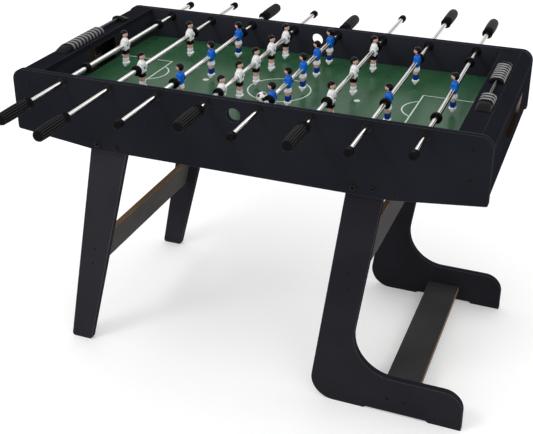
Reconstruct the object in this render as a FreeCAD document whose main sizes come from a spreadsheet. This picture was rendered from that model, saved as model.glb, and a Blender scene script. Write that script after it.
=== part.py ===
import FreeCAD, Part
import math
import os
import re
import Sketcher

# A foosball table: a dark cabinet with a playfield, eight player rods that slide and spin,
# bead scorers on both ends, two fixed L-shaped legs and a fold-away pair of straight legs.
# Millimetres, +Z up, origin on the floor under the middle of the cabinet, X along the table.

DIMENSIONS = [
    ("table_length", 1210, "cabinet length along X"),
    ("table_width", 620, "cabinet width over the side panels"),
    ("table_top", 800, "height of the cabinet top"),
    ("panel_t", 15, "board thickness of the cabinet"),
    ("panel_low", 611, "bottom edge of a side panel, middle"),
    ("panel_low_end", 636, "bottom edge of a side panel, at its ends"),
    ("panel_flat_half", 385, "half length of the level part of that edge"),
    ("panel_corner_r", 30, "top corners of a side panel"),
    ("panel_foot_r", 6, "bottom corners of a side panel"),
    ("rod_z", 782, "height of the rods"),
    ("rod_pitch", 130.5, "distance between neighbouring rods"),
    ("rod_r", 6.5, "rod radius"),
    ("rod_bore_r", 5.3, "inner radius of the rod tube"),
    ("run_gap", 0.05, "radial clearance of a running fit"),
    ("sleeve_r", 9.5, "bushing sleeve radius"),
    ("flange_r", 14, "bushing flange radius"),
    ("flange_t", 4, "bushing flange thickness"),
    ("serve_x", 3, "serve hole, along the table"),
    ("serve_z", 762, "serve hole height"),
    ("serve_r", 17.5, "serve hole radius"),
    ("field_top", 714, "playing surface height"),
    ("field_t", 6, "playfield board thickness"),
    ("groove_depth", 5, "groove in the side panels that holds the playfield"),
    ("wall_x", 527, "inner face of a goal wall"),
    ("wall_t", 9, "goal wall thickness"),
    ("wall_low", 696, "bottom of a goal wall"),
    ("goal_half", 71, "half width of a goal mouth"),
    ("goal_top", 778, "top of a goal mouth"),
    ("lid_x", 524, "inner edge of an end top"),
    ("lid_flat_x", 576, "where an end top starts to slope"),
    ("lid_slope_z", 776, "lower edge of that slope"),
    ("end_low", 660, "bottom of an end panel"),
    ("end_high", 770, "top of an end panel"),
    ("tray_high", 692, "ball tray at the goal wall"),
    ("tray_low", 684, "ball tray at the end panel"),
    ("tray_t", 8, "ball tray thickness"),
    ("tray_half", 275, "half width of a ball tray"),
    ("moon_half", 139, "half width of the end opening"),
    ("moon_top", 742, "top of the end opening"),
    ("moon_r", 200.5, "radius of its curved lower edge"),
    ("moon_low", 686, "bottom of the end opening"),
    ("baffle_low", 722, "lower edge of the dark baffle behind a goal"),
    ("baffle_t", 5, "baffle thickness"),
    ("deflector_t", 9, "raw board behind part of a goal mouth"),
    ("counter_x", 553, "score rod, along the table"),
    ("counter_z", 808, "score rod height"),
    ("counter_r", 3.5, "score rod radius"),
    ("counter_half", 150, "half length of the score rod"),
    ("bracket_in", 134, "inner face of a score bracket"),
    ("bracket_len", 38, "score bracket length"),
    ("bead_half", 19, "score bead half width"),
    ("bead_top", 16, "score bead height above the table"),
    ("bead_lift", 0.3, "gap under a score bead"),
    ("bead_len", 16, "score bead length"),
    ("bead_pitch", 16.5, "score bead spacing"),
    ("leg_t", 18, "leg board thickness"),
    ("ell_y", 295, "outer face of an L-leg"),
    ("fold_y", 294.5, "outer face of a straight leg"),
    ("pivot_x", -372, "fold pivot, along the table"),
    ("pivot_z", 628, "fold pivot height"),
    ("head_r", 75.3, "rounded head of a straight leg"),
    ("brace_w", 90, "brace board width"),
    ("brace_t", 15, "brace board thickness"),
    ("bolt_r", 4, "large bolt shank radius"),
    ("small_bolt_r", 3, "small bolt shank radius"),
    ("screw_r", 2, "screw shank radius"),
    ("screw_len", 27, "screw length below the head"),
    ("grip_r", 15.5, "handle radius"),
    ("grip_len", 122, "handle length"),
    ("grip_bore", 100, "how far the rod reaches into a handle"),
    ("cap_r", 10.5, "end cap radius"),
    ("cap_len", 21, "end cap length"),
    ("cap_bore", 15, "how far the rod reaches into a cap"),
    ("bumper_r", 14, "bumper radius"),
    ("bumper_len", 9, "bumper length"),
    ("ball_r", 15.5, "ball radius"),
    ("ball_x", -6, "ball, along the table"),
    ("ball_y", -105, "ball, across the table"),
    # Each rod type: men spacing, bumper centre, start of the handle, tip of the end cap.
    ("goalie_step", 0, "one man on a goalie rod"),
    ("goalie_bump", 201, "goalie rod bumper"),
    ("goalie_grip", 457, "goalie rod handle"),
    ("goalie_cap", 426, "goalie rod cap tip"),
    ("defence_step", 286, "two men on a defence rod"),
    ("defence_bump", 171, "defence rod bumper"),
    ("defence_grip", 500, "defence rod handle"),
    ("defence_cap", 473, "defence rod cap tip"),
    ("attack_step", 186, "three men on an attack rod"),
    ("attack_bump", 220, "attack rod bumper"),
    ("attack_grip", 372, "attack rod handle"),
    ("attack_cap", 508, "attack rod cap tip"),
    ("mid_step", 111, "five men on a midfield rod"),
    ("mid_bump", 240.5, "midfield rod bumper"),
    ("mid_grip", 346, "midfield rod handle"),
    ("mid_cap", 478, "midfield rod cap tip"),
    # How far each rod is pushed along +Y as the table stands.
    ("rest_1", 4, "rod 1"),
    ("rest_2", 1, "rod 2"),
    ("rest_3", 3, "rod 3"),
    ("rest_4", 0, "rod 4"),
    ("rest_5", 1, "rod 5"),
    ("rest_6", 20, "rod 6"),
    ("rest_7", 13, "rod 7"),
    ("rest_8", 0, "rod 8"),
]

# Rod number, type, number of men, side of the handle: -1 is the front, +1 the back.
RODS = [
    (1, "goalie", 1, -1),
    (2, "defence", 2, -1),
    (3, "attack", 3, 1),
    (4, "mid", 5, -1),
    (5, "mid", 5, 1),
    (6, "attack", 3, -1),
    (7, "defence", 2, 1),
    (8, "goalie", 1, 1),
]

SIDES = [("front", -1), ("back", 1)]
ENDS = [("left", -1), ("right", 1)]

doc = FreeCAD.newDocument("foosball_table")
sheet = doc.addObject("Spreadsheet::Sheet", "Sheet")
for row, (alias, value, note) in enumerate(DIMENSIONS, start=1):
    sheet.set(f"A{row}", alias)
    sheet.set(f"B{row}", str(value))
    sheet.setAlias(f"B{row}", alias)
    sheet.set(f"C{row}", note)
doc.recompute()

NUMBERS = {alias: value for alias, value, note in DIMENSIONS}
WORD = re.compile(r"\b(" + "|".join(NUMBERS) + r")\b")
nodes = {}


def bind(thing, prop, formula):
    """Bind a property to a formula written with the sheet's aliases."""
    thing.setExpression(prop, WORD.sub(r"Sheet.\1", str(formula)))


def place(thing, x=0, y=0, z=0, axis=None, angle=0):
    """Bind a position, with a fixed turn about one axis."""
    if axis is not None:
        turn = FreeCAD.Rotation(FreeCAD.Vector(*axis), angle)
        thing.Placement = FreeCAD.Placement(FreeCAD.Vector(), turn)
    for letter, formula in (("x", x), ("y", y), ("z", z)):
        bind(thing, f"Placement.Base.{letter}", formula)
    return thing


def box(name, size, corner):
    """A box from its size and its lowest corner."""
    thing = doc.addObject("Part::Box", name)
    for prop, formula in zip(("Length", "Width", "Height"), size):
        bind(thing, prop, formula)
    return place(thing, *corner)


def cylinder(name, radius, height, base, axis=None, angle=0):
    thing = doc.addObject("Part::Cylinder", name)
    bind(thing, "Radius", radius)
    bind(thing, "Height", height)
    return place(thing, *base, axis=axis, angle=angle)


def group(name, members):
    """Separate solids kept together as one object."""
    thing = doc.addObject("Part::Compound", name)
    thing.Links = members
    return thing


def copy_of(name, thing, x=0, y=0, z=0, axis=None, angle=0):
    link = doc.addObject("App::Link", name)
    link.LinkedObject = thing
    link.LinkTransform = True
    return place(link, x, y, z, axis=axis, angle=angle)


def cut(name, base, *tools):
    for number, tool in enumerate(tools, start=1):
        thing = doc.addObject("Part::Cut", name if number == len(tools) else f"{name}_{number}")
        thing.Base = base
        thing.Tool = tool
        base = thing
    return base


def node(label, thing):
    thing.Label = label
    nodes[label] = thing
    return thing


def body_with_sketch(name, plane):
    body = doc.addObject("PartDesign::Body", name)
    sketch = body.newObject("Sketcher::SketchObject", f"{name}_sketch")
    origin = [item for item in body.Origin.OriginFeatures if item.Role == plane][0]
    sketch.AttachmentSupport = [(origin, "")]
    sketch.MapMode = "FlatFace"
    return body, sketch


def pin_point(sketch, geometry, point, across, up, near=(1.0, 1.0)):
    """Fix a sketch point by two formulas measured from the sketch's origin."""
    for kind, formula, start in (("DistanceX", across, near[0]), ("DistanceY", up, near[1])):
        index = sketch.addConstraint(Sketcher.Constraint(kind, -1, 1, geometry, point, start))
        bind(sketch, f"Constraints[{index}]", formula)


def outline(sketch, corners):
    """A closed outline of straight lines through (across, up) formulas."""
    count = len(corners)
    lines = []
    for number in range(count):
        a = 2 * math.pi * number / count
        b = 2 * math.pi * (number + 1) / count
        start = FreeCAD.Vector(100 * math.cos(a), 100 * math.sin(a), 0)
        end = FreeCAD.Vector(100 * math.cos(b), 100 * math.sin(b), 0)
        lines.append(sketch.addGeometry(Part.LineSegment(start, end), False))
    for number in range(count):
        joined = Sketcher.Constraint("Coincident", lines[number - 1], 2, lines[number], 1)
        sketch.addConstraint(joined)
    for line, (across, up) in zip(lines, corners):
        pin_point(sketch, line, 1, across, up)
    return lines


def hole(sketch, across, up, radius):
    circle = Part.Circle(FreeCAD.Vector(0, 0, 0), FreeCAD.Vector(0, 0, 1), 5)
    index = sketch.addGeometry(circle, False)
    pin_point(sketch, index, 3, across, up)
    limit = sketch.addConstraint(Sketcher.Constraint("Radius", index, 5.0))
    bind(sketch, f"Constraints[{limit}]", radius)


def pad(body, sketch, length, middle=False):
    feature = body.newObject("PartDesign::Pad", f"{body.Name}_pad")
    feature.Profile = sketch
    bind(feature, "Length", length)
    if middle:
        feature.Midplane = True
    body.Tip = feature
    return feature


def board(name, plane, corners, thickness, holes=(), middle=False):
    """A flat board cut to an outline. On XZ_Plane it grows towards -Y, on YZ_Plane towards +X."""
    body, sketch = body_with_sketch(name, plane)
    outline(sketch, corners)
    for across, up, radius in holes:
        hole(sketch, across, up, radius)
    pad(body, sketch, thickness, middle)
    doc.recompute()
    return body


def round_corners(body, feature, corners):
    """Round the edges across a board that stand at the given (x, z) places, by radius."""
    for radius, points in corners:
        solid = body.Tip
        names = []
        for number, edge in enumerate(solid.Shape.Edges, start=1):
            ends = [vertex.Point for vertex in edge.Vertexes]
            if len(ends) != 2 or abs(ends[0].x - ends[1].x) > 0.01 or abs(ends[0].z - ends[1].z) > 0.01:
                continue
            if any(math.hypot(ends[0].x - x, ends[0].z - z) < 1.0 for x, z in points):
                names.append(f"Edge{number}")
        fillet = body.newObject("PartDesign::Fillet", f"{body.Name}_{feature}_{radius}")
        fillet.Base = (solid, names)
        if radius in NUMBERS:
            bind(fillet, "Radius", radius)
        else:
            fillet.Radius = radius
        body.Tip = fillet
        doc.recompute()


def turned(name, profile):
    """A body of revolution about Y, from (radius, along) formulas."""
    body, sketch = body_with_sketch(name, "XY_Plane")
    outline(sketch, profile)
    feature = body.newObject("PartDesign::Revolution", f"{name}_turn")
    feature.Profile = sketch
    feature.ReferenceAxis = (sketch, ["V_Axis"])
    feature.Angle = 360
    body.Tip = feature
    return body


# --- Fasteners -----------------------------------------------------------------------------
# Every fastener points along +Y from the outer face of a board. Its head stands out at negative Y,
# but the screws of the folding legs are countersunk, so that they pass the side panels.

screw = turned(
    "screw",
    [("0", "-1.6"), ("2.4", "-1.4"), ("4", "0"), ("screw_r", "0"), ("screw_r", "screw_len"), ("0", "screw_len")],
)
flush_screw = turned(
    "flush_screw",
    [("0", "0"), ("4", "0"), ("screw_r", "2.5"), ("screw_r", "screw_len"), ("0", "screw_len")],
)


def bolt(name, shank_r, head_r, head_t, reach, nut_r=None, nut_t=None):
    """A bolt with a domed head, and with a nut at its reach if it has one."""
    profile = [
        ("0", f"-{head_t}"),
        (f"{head_r} - 2", f"-{head_t}"),
        (head_r, f"-{head_t} / 2"),
        (head_r, "0"),
        (shank_r, "0"),
        (shank_r, reach),
    ]
    if nut_r is None:
        profile.append(("0", reach))
    else:
        profile += [(nut_r, reach), (nut_r, f"{reach} + {nut_t}"), ("0", f"{reach} + {nut_t}")]
    return turned(name, profile)


pivot_bolt = bolt("pivot_bolt", "bolt_r", 8.5, 5, "panel_t + leg_t + 1", 7, 6)
ell_bolt = bolt("ell_bolt", "bolt_r", 8.5, 5, "panel_t + leg_t", 7, 6)
small_bolt = bolt("small_bolt", "small_bolt_r", 6.5, 3.5, "panel_t + leg_t", 5.5, 5)
lock_bolt = bolt("lock_bolt", "small_bolt_r", 6.5, 3.5, "panel_t")


def on_side(name, thing, side, x, z, outer="table_width / 2"):
    """A fastener in the outer face of the front (-1) or the back (+1) board."""
    if side < 0:
        return copy_of(name, thing, x, f"-({outer})", z)
    return copy_of(name, thing, x, outer, z, axis=(0, 0, 1), angle=180)


PANEL_SCREWS = [("-562", "765"), ("-562", "692"), ("562", "765"), ("562", "692"),
                ("-228", "702"), ("228", "702"), ("396", "629")]
ELL_SCREWS = [("291.5", "385"), ("291.5", "342"), ("406", "42.5"), ("450", "42.5")]
FOLD_SCREWS = [("-417.7", "303.4"), ("-428.3", "256.6")]

screws = []
fold_screws = []
bolts = []
for side_name, side in SIDES:
    for number, (x, z) in enumerate(PANEL_SCREWS, start=1):
        screws.append(on_side(f"panel_screw_{side_name}_{number}", screw, side, x, z))
    for number, (x, z) in enumerate(ELL_SCREWS, start=1):
        screws.append(on_side(f"ell_screw_{side_name}_{number}", screw, side, x, z, "ell_y"))
    for number, (x, z) in enumerate(FOLD_SCREWS, start=1):
        fold_screws.append(on_side(f"fold_screw_{side_name}_{number}", flush_screw, side, x, z, "fold_y"))
    bolts.append(on_side(f"pivot_bolt_{side_name}", pivot_bolt, side, "pivot_x", "pivot_z"))
    bolts.append(on_side(f"lock_bolt_{side_name}", lock_bolt, side, "-317", "624"))
    bolts.append(on_side(f"ell_bolt_{side_name}", ell_bolt, side, "299", "629"))
    bolts.append(on_side(f"ell_small_bolt_{side_name}", small_bolt, side, "346", "633"))
cabinet_screws = node("cabinet_screws", group("cabinet_screws", screws))
leg_bolts = node("leg_bolts", group("leg_bolts", bolts))
straight_leg_screws = node("straight_leg_screws", group("straight_leg_screws", fold_screws))

# --- Cabinet -------------------------------------------------------------------------------

rod_holes = [(f"rod_pitch * {number - 4.5}", "rod_z", "sleeve_r") for number in range(1, 9)]
side_corners = [
    ("-table_length / 2", "panel_low_end"),
    ("-panel_flat_half", "panel_low"),
    ("panel_flat_half", "panel_low"),
    ("table_length / 2", "panel_low_end"),
    ("table_length / 2", "table_top"),
    ("-table_length / 2", "table_top"),
]
half_length = NUMBERS["table_length"] / 2
groove = box(
    "playfield_groove",
    ("wall_x * 2", "table_width - 2 * panel_t + 2 * groove_depth", "field_t"),
    ("-wall_x", "-(table_width / 2 - panel_t + groove_depth)", "field_top - field_t"),
)
for side_name, side in SIDES:
    panel = board(f"side_board_{side_name}", "XZ_Plane", side_corners, "panel_t",
                  rod_holes + [("serve_x", "serve_z", "serve_r")])
    place(panel, 0, "-(table_width / 2 - panel_t)" if side < 0 else "table_width / 2", 0)
    top = NUMBERS["table_top"]
    low = NUMBERS["panel_low_end"]
    round_corners(panel, "corner", [
        ("panel_corner_r", [(-half_length, top), (half_length, top)]),
        ("panel_foot_r", [(-half_length, low), (half_length, low)]),
    ])
    name = f"side_panel_{side_name}"
    node(name, cut(name, panel, groove, cabinet_screws, leg_bolts))

playfield = box(
    "playfield",
    ("wall_x * 2", "table_width - 2 * panel_t + 2 * groove_depth", "field_t"),
    ("-wall_x", "-(table_width / 2 - panel_t + groove_depth)", "field_top - field_t"),
)
node("playfield", playfield)

lid_corners = [
    ("lid_x", "table_top - panel_t"),
    ("lid_x", "table_top"),
    ("lid_flat_x", "table_top"),
    ("table_length / 2 - 1", "lid_slope_z"),
    ("table_length / 2", "end_high"),
    ("table_length / 2 - panel_t", "end_high"),
    ("table_length / 2 - panel_t", "table_top - panel_t"),
]
tray_corners = [
    ("wall_x + wall_t", "tray_high"),
    ("table_length / 2 - panel_t", "tray_low"),
    ("table_length / 2 - panel_t", "tray_low - tray_t"),
    ("wall_x + wall_t", "tray_high - tray_t"),
]
inner_width = "table_width - 2 * panel_t"
moon_disc = cylinder("moon_disc", "moon_r", "60", ("table_length / 2 - 40", 0, "moon_low + moon_r"),
                     axis=(0, 1, 0), angle=90)
moon_slab = box("moon_slab", ("60", "moon_half * 2 + 20", "moon_top - moon_low + 20"),
                ("table_length / 2 - 40", "-(moon_half + 10)", "moon_low - 20"))
moon = doc.addObject("Part::Common", "moon_opening")
moon.Base = moon_disc
moon.Tool = moon_slab
goal_mouth = box("goal_mouth", ("wall_t + 20", "goal_half * 2", "goal_top - field_top"),
                 ("wall_x - 10", "-goal_half", "field_top"))
end_board = box("end_board", ("panel_t", inner_width, "end_high - end_low"),
                ("table_length / 2 - panel_t", f"-({inner_width}) / 2", "end_low"))
wall_board = box("wall_board", ("wall_t", inner_width, "table_top - panel_t - wall_low"),
                 ("wall_x", f"-({inner_width}) / 2", "wall_low"))
end_template = {
    "end_panel": cut("end_panel", end_board, moon),
    "goal_wall": cut("goal_wall", wall_board, goal_mouth),
    "end_top": board("end_top", "XZ_Plane", lid_corners, inner_width, middle=True),
    "tray": board("tray", "XZ_Plane", tray_corners, "tray_half * 2", middle=True),
    "baffle": box("baffle", ("baffle_t", "105", "table_top - panel_t - baffle_low"),
                  ("table_length / 2 - panel_t - 12", "-150", "baffle_low")),
    "deflector": box("deflector", ("deflector_t", "105", "table_top - panel_t - wall_low - 4"),
                     ("wall_x + wall_t", "25", "wall_low + 4")),
}


def at_end(name, thing, side):
    """The right end as drawn, or the left end as the same parts turned half round."""
    if side > 0:
        return copy_of(name, thing)
    return copy_of(name, thing, axis=(0, 0, 1), angle=180)


ball_boxes = []
raw_boards = []
for end_name, side in ENDS:
    for part_name in ("end_panel", "goal_wall", "end_top"):
        name = f"{part_name}_{end_name}"
        node(name, group(name, [at_end(f"{name}_link", end_template[part_name], side)]))
    ball_boxes.append(at_end(f"tray_{end_name}", end_template["tray"], side))
    ball_boxes.append(at_end(f"baffle_{end_name}", end_template["baffle"], side))
    raw_boards.append(at_end(f"deflector_{end_name}", end_template["deflector"], side))
node("ball_boxes", group("ball_boxes", ball_boxes))

cleat_sizes = [
    ("corner_cleat", ("30", "20", "table_top - panel_t - 665"), "table_width / 2 - panel_t - 20", 562, "665"),
    ("field_cleat", ("60", "15", "12"), "table_width / 2 - panel_t - 15", 228, "field_top - field_t - 12"),
]
for cleat, size, inner, middle, low in cleat_sizes:
    for end_name, end in ENDS:
        for side_name, side in SIDES:
            start = f"{end * middle} - {size[0]} / 2"
            across = inner if side > 0 else f"-({inner}) - {size[1]}"
            raw_boards.append(box(f"{cleat}_{end_name}_{side_name}", size, (start, across, low)))
for side_name, side in SIDES:
    raw_boards.append(box(f"field_batten_{side_name}", ("wall_x * 2", "20", "25"),
                          ("-wall_x", 120 * side - 10, "field_top - field_t - 25")))
raw_boards.append(box("cross_rail", ("30", inner_width, "26"), ("381", f"-({inner_width}) / 2", "616")))
raw = group("raw_boards", raw_boards)
node("cleats_and_battens", cut("cleats_and_battens", raw, cabinet_screws))

# --- Rod bushings --------------------------------------------------------------------------
# A sleeve through the side panel with a flange on each face; along runs outwards from its middle.

bushing = turned(
    "bushing",
    [
        ("rod_r + run_gap", "-(panel_t / 2 + flange_t)"),
        ("flange_r - 1.5", "-(panel_t / 2 + flange_t)"),
        ("flange_r", "-(panel_t / 2 + flange_t - 1.5)"),
        ("flange_r", "-panel_t / 2"),
        ("sleeve_r", "-panel_t / 2"),
        ("sleeve_r", "panel_t / 2"),
        ("flange_r", "panel_t / 2"),
        ("flange_r", "panel_t / 2 + flange_t - 1.5"),
        ("flange_r - 1.5", "panel_t / 2 + flange_t"),
        ("rod_r + run_gap", "panel_t / 2 + flange_t"),
    ],
)
bushings = []
for side_name, side in SIDES:
    for number in range(1, 9):
        bushings.append(copy_of(f"bushing_{side_name}_{number}", bushing, f"rod_pitch * {number - 4.5}",
                                f"{side} * (table_width / 2 - panel_t / 2)", "rod_z"))
node("rod_bushings", group("rod_bushings", bushings))

# --- Score counters ------------------------------------------------------------------------



def arch(name, base, length, holes=(), middle=False):
    """A low arched block across the end rail: the shape of a score bead and of its end brackets."""
    block = board(name, "XZ_Plane", [
        ("-bead_half", base),
        ("bead_half", base),
        ("bead_half", "table_top + 5"),
        ("bead_half - 9", "table_top + bead_top"),
        ("9 - bead_half", "table_top + bead_top"),
        ("-bead_half", "table_top + 5"),
    ], length, holes, middle=middle)
    top = NUMBERS["table_top"]
    half = NUMBERS["bead_half"]
    crown = top + NUMBERS["bead_top"]
    round_corners(block, "shoulder", [
        (5, [(-half, top + 5), (half, top + 5), (9 - half, crown), (half - 9, crown)]),
    ])
    return block


bead = arch("bead", "table_top + bead_lift", "bead_len", [("0", "counter_z", "counter_r + run_gap")], middle=True)
bracket_block = arch("bracket_block", "table_top", "bracket_len")
ramp = board(
    "bracket_ramp",
    "YZ_Plane",
    [
        ("0", "table_top"),
        ("0", "table_top + bead_top + 1"),
        ("-8", "table_top + bead_top + 1"),
        ("-bracket_len", "table_top + 3"),
        ("-bracket_len", "table_top"),
    ],
    "bead_half * 2 + 10",
    middle=True,
)
bracket = doc.addObject("Part::Common", "bracket")
bracket.Base = bracket_block
bracket.Tool = ramp
score_rods = []
brackets = []
for end_name, side in ENDS:
    score_rods.append(cylinder(f"score_rod_{end_name}", "counter_r", "counter_half * 2",
                               (f"{side} * counter_x", "-counter_half", "counter_z"), axis=(1, 0, 0), angle=-90))
    for side_name, across, angle in (("front", "-bracket_in", 0), ("back", "bracket_in", 180)):
        brackets.append(copy_of(f"bracket_{end_name}_{side_name}", bracket,
                                f"{side} * counter_x", across, 0, axis=(0, 0, 1), angle=angle))
score_rod_node = node("score_rods", group("score_rods", score_rods))
node("score_brackets", cut("score_brackets", group("bracket_blocks", brackets), score_rod_node))


def bead_row(label, side, count, first):
    """Beads on one score rod, from the place of the first bead towards +Y."""
    beads = []
    for number in range(count):
        beads.append(copy_of(f"{label}_{number + 1}", bead, f"{side} * counter_x",
                             f"{first} + bead_pitch * {number}", 0))
    node(label, group(label, beads))


bead_row("score_beads_left", -1, 10, "-bracket_in + bead_pitch / 2")
bead_row("score_beads_right_near", 1, 3, "-bracket_in + bead_pitch / 2")
bead_row("score_beads_right_far", 1, 7, "bracket_in - bead_pitch * 6.5")

# --- Legs ----------------------------------------------------------------------------------

ell_corners = [
    ("195", "0"),
    ("345", "0"),
    ("351", "5"),
    ("506", "5"),
    ("513", "0"),
    ("595", "0"),
    ("595", "104"),
    ("296", "104"),
    ("380", "695"),
    ("289.8", "695"),
]
for side_name, side in SIDES:
    ell = board(f"ell_board_{side_name}", "XZ_Plane", ell_corners, "leg_t")
    place(ell, 0, "-(ell_y - leg_t)" if side < 0 else "ell_y", 0)
    round_corners(ell, "corner", [
        (60, [(195, 0)]),
        (50, [(595, 104)]),
        (105, [(296, 104)]),
    ])
    name = f"l_leg_{side_name}"
    node(name, cut(name, ell, cabinet_screws, leg_bolts))
ell_span = "2 * (ell_y - leg_t)"
upper_brace = box("upper_brace_board", ("brace_t", ell_span, "brace_w"),
                  ("291.5 - brace_t / 2", "-(ell_y - leg_t)", "320"))
node("l_leg_upper_brace", cut("l_leg_upper_brace", upper_brace, cabinet_screws))
foot_brace = box("foot_brace_board", ("brace_w", ell_span, "brace_t"),
                 ("383", "-(ell_y - leg_t)", "42.5 - brace_t / 2"))
node("l_leg_foot_brace", cut("l_leg_foot_brace", foot_brace, cabinet_screws))


def straight_leg(name):
    """A tapered leg whose head is round about the fold pivot."""
    body, sketch = body_with_sketch(name, "XZ_Plane")
    pivot = FreeCAD.Vector(NUMBERS["pivot_x"], NUMBERS["pivot_z"], 0)
    radius = NUMBERS["head_r"]
    start = FreeCAD.Vector(-455, 0, 0)
    lean = math.atan2(592, 152)
    tangent = pivot + FreeCAD.Vector(math.sin(lean), -math.cos(lean), 0) * radius
    crown = FreeCAD.Vector(-383, 702, 0)
    low = FreeCAD.Vector(-517, 0, 0)
    arc = Part.ArcOfCircle(
        Part.Circle(pivot, FreeCAD.Vector(0, 0, 1), radius),
        math.atan2(tangent.y - pivot.y, tangent.x - pivot.x),
        math.atan2(crown.y - pivot.y, crown.x - pivot.x),
    )
    right = sketch.addGeometry(Part.LineSegment(start, tangent), False)
    head = sketch.addGeometry(arc, False)
    left = sketch.addGeometry(Part.LineSegment(crown, low), False)
    foot = sketch.addGeometry(Part.LineSegment(low, start), False)
    sketch.addConstraint(Sketcher.Constraint("Tangent", right, 2, head, 1))
    sketch.addConstraint(Sketcher.Constraint("Coincident", head, 2, left, 1))
    sketch.addConstraint(Sketcher.Constraint("Coincident", left, 2, foot, 1))
    sketch.addConstraint(Sketcher.Constraint("Coincident", foot, 2, right, 1))
    pin_point(sketch, head, 3, "pivot_x", "pivot_z", (pivot.x, pivot.y))
    size = sketch.addConstraint(Sketcher.Constraint("Radius", head, radius))
    bind(sketch, f"Constraints[{size}]", "head_r")
    pin_point(sketch, left, 2, "-517", "0", (low.x, low.y))
    pin_point(sketch, right, 1, "-455", "0", (start.x, start.y))
    level = sketch.addConstraint(Sketcher.Constraint("DistanceX", -1, 1, left, 1, -382.5))
    bind(sketch, f"Constraints[{level}]", "pivot_x - 10.5")
    pad(body, sketch, "leg_t")
    doc.recompute()
    round_corners(body, "corner", [(8, [(-517, 0), (-455, 0)])])
    return body


pivot_hole = cylinder("pivot_hole", "bolt_r + run_gap", "table_width", ("pivot_x", "-table_width / 2", "pivot_z"),
                      axis=(1, 0, 0), angle=-90)
for side_name, side in SIDES:
    leg = straight_leg(f"straight_board_{side_name}")
    place(leg, 0, "-(fold_y - leg_t)" if side < 0 else "fold_y", 0)
    name = f"straight_leg_{side_name}"
    node(name, cut(name, leg, pivot_hole, straight_leg_screws))
fold_brace = box("fold_brace_board", ("brace_t", "2 * (fold_y - leg_t)", "brace_w"),
                 ("-brace_t / 2", "-(fold_y - leg_t)", "-brace_w / 2"))
tilted = copy_of("fold_brace_tilted", fold_brace, "-423", "0", "280", axis=(0, 1, 0), angle=12.7)
node("straight_leg_brace", cut("straight_leg_brace", group("fold_brace_group", [tilted]), straight_leg_screws))

# --- Playing men ---------------------------------------------------------------------------
# One figure around its rod, facing +X: a front outline and a side outline in common, and a head.

half_front = [
    (3.6, 25), (8.5, 22), (12, 17), (12.5, 4), (12, -6), (10, -9), (11.4, -20),
    (11, -28), (8.6, -31), (7, -45), (9.2, -49), (9.2, -56), (7.5, -61.5),
]
front_outline = [(str(y), str(z)) for y, z in half_front]
front_outline += [(str(-y), str(z)) for y, z in reversed(half_front)]
side_outline = [(str(x), str(z)) for x, z in (
    (-4, 25), (4, 25), (8.6, 15), (9, 2), (8.2, -9), (8.8, -27), (5.4, -31), (4.8, -46), (12, -50),
    (11.5, -55), (6, -61.5), (-5, -61.5), (-9, -55), (-8, -48), (-6.5, -40), (-6, -31), (-8.8, -27),
    (-8.2, -9), (-8.6, 15),
)]
front_block = board("figure_front", "YZ_Plane", front_outline, "40", middle=True)
side_block = board("figure_side", "XZ_Plane", side_outline, "40", middle=True)
trunk = doc.addObject("Part::Common", "figure_trunk")
trunk.Base = front_block
trunk.Tool = side_block
skull = doc.addObject("Part::Sphere", "figure_head")
bind(skull, "Radius", "9.5")
place(skull, 0, 0, "32")
hub = cylinder("figure_hub", "rod_r + 3", "24", (0, "-12", 0), axis=(1, 0, 0), angle=-90)
whole = doc.addObject("Part::MultiFuse", "figure_whole")
whole.Shapes = [trunk, skull, hub]
rod_through = cylinder("rod_through", "rod_r", "60", (0, "-30", 0), axis=(1, 0, 0), angle=-90)
figure = cut("figure", whole, rod_through)

# --- Rods ----------------------------------------------------------------------------------
# In a rod's own frame the handle is at negative along, whatever side it has on the table.

bumper = turned(
    "bumper",
    [
        ("rod_r + run_gap", "-bumper_len / 2"),
        ("bumper_r - 2", "-bumper_len / 2"),
        ("bumper_r", "-bumper_len / 2 + 2"),
        ("bumper_r", "bumper_len / 2 - 2"),
        ("bumper_r - 2", "bumper_len / 2"),
        ("rod_r + run_gap", "bumper_len / 2"),
    ],
)
grip = turned(
    "grip",
    [
        ("rod_r", "0"),
        ("13", "0"),
        ("14.5", "-2"),
        ("14.5", "-8"),
        ("11.5", "-13"),
        ("11.5", "-18"),
        ("grip_r - 1", "-25"),
        ("grip_r", "-34"),
        ("grip_r", "-(grip_len - 14)"),
        ("grip_r - 3", "-(grip_len - 5)"),
        ("grip_r - 8", "-(grip_len - 1)"),
        ("0", "-grip_len"),
        ("0", "-grip_bore"),
        ("rod_r", "-grip_bore"),
    ],
)
cap = turned(
    "cap",
    [
        ("rod_r", "-cap_len"),
        ("cap_r", "-cap_len"),
        ("cap_r", "-4"),
        ("cap_r - 3.5", "0"),
        ("0", "0"),
        ("0", "cap_bore - cap_len"),
        ("rod_r", "cap_bore - cap_len"),
    ],
)
tubes = {}
for kind in ("goalie", "defence", "attack", "mid"):
    handle_end = f"-({kind}_grip + grip_bore)"
    cap_end = f"{kind}_cap - cap_len + cap_bore"
    tubes[kind] = turned(
        f"tube_{kind}",
        [("rod_bore_r", handle_end), ("rod_r", handle_end), ("rod_r", cap_end), ("rod_bore_r", cap_end)],
    )


def on_rod(label, parts, number, handle):
    """Copies of parts at their places along one rod, turned with it, as one object."""
    facing = {} if handle < 0 else {"axis": (0, 0, 1), "angle": 180}
    copies = []
    for place_number, (thing, along) in enumerate(parts, start=1):
        copies.append(copy_of(f"{label}_{place_number}", thing, f"rod_pitch * {number - 4.5}",
                              f"rest_{number} + {-handle} * ({along})", "rod_z", **facing))
    return node(label, group(label, copies))


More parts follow.
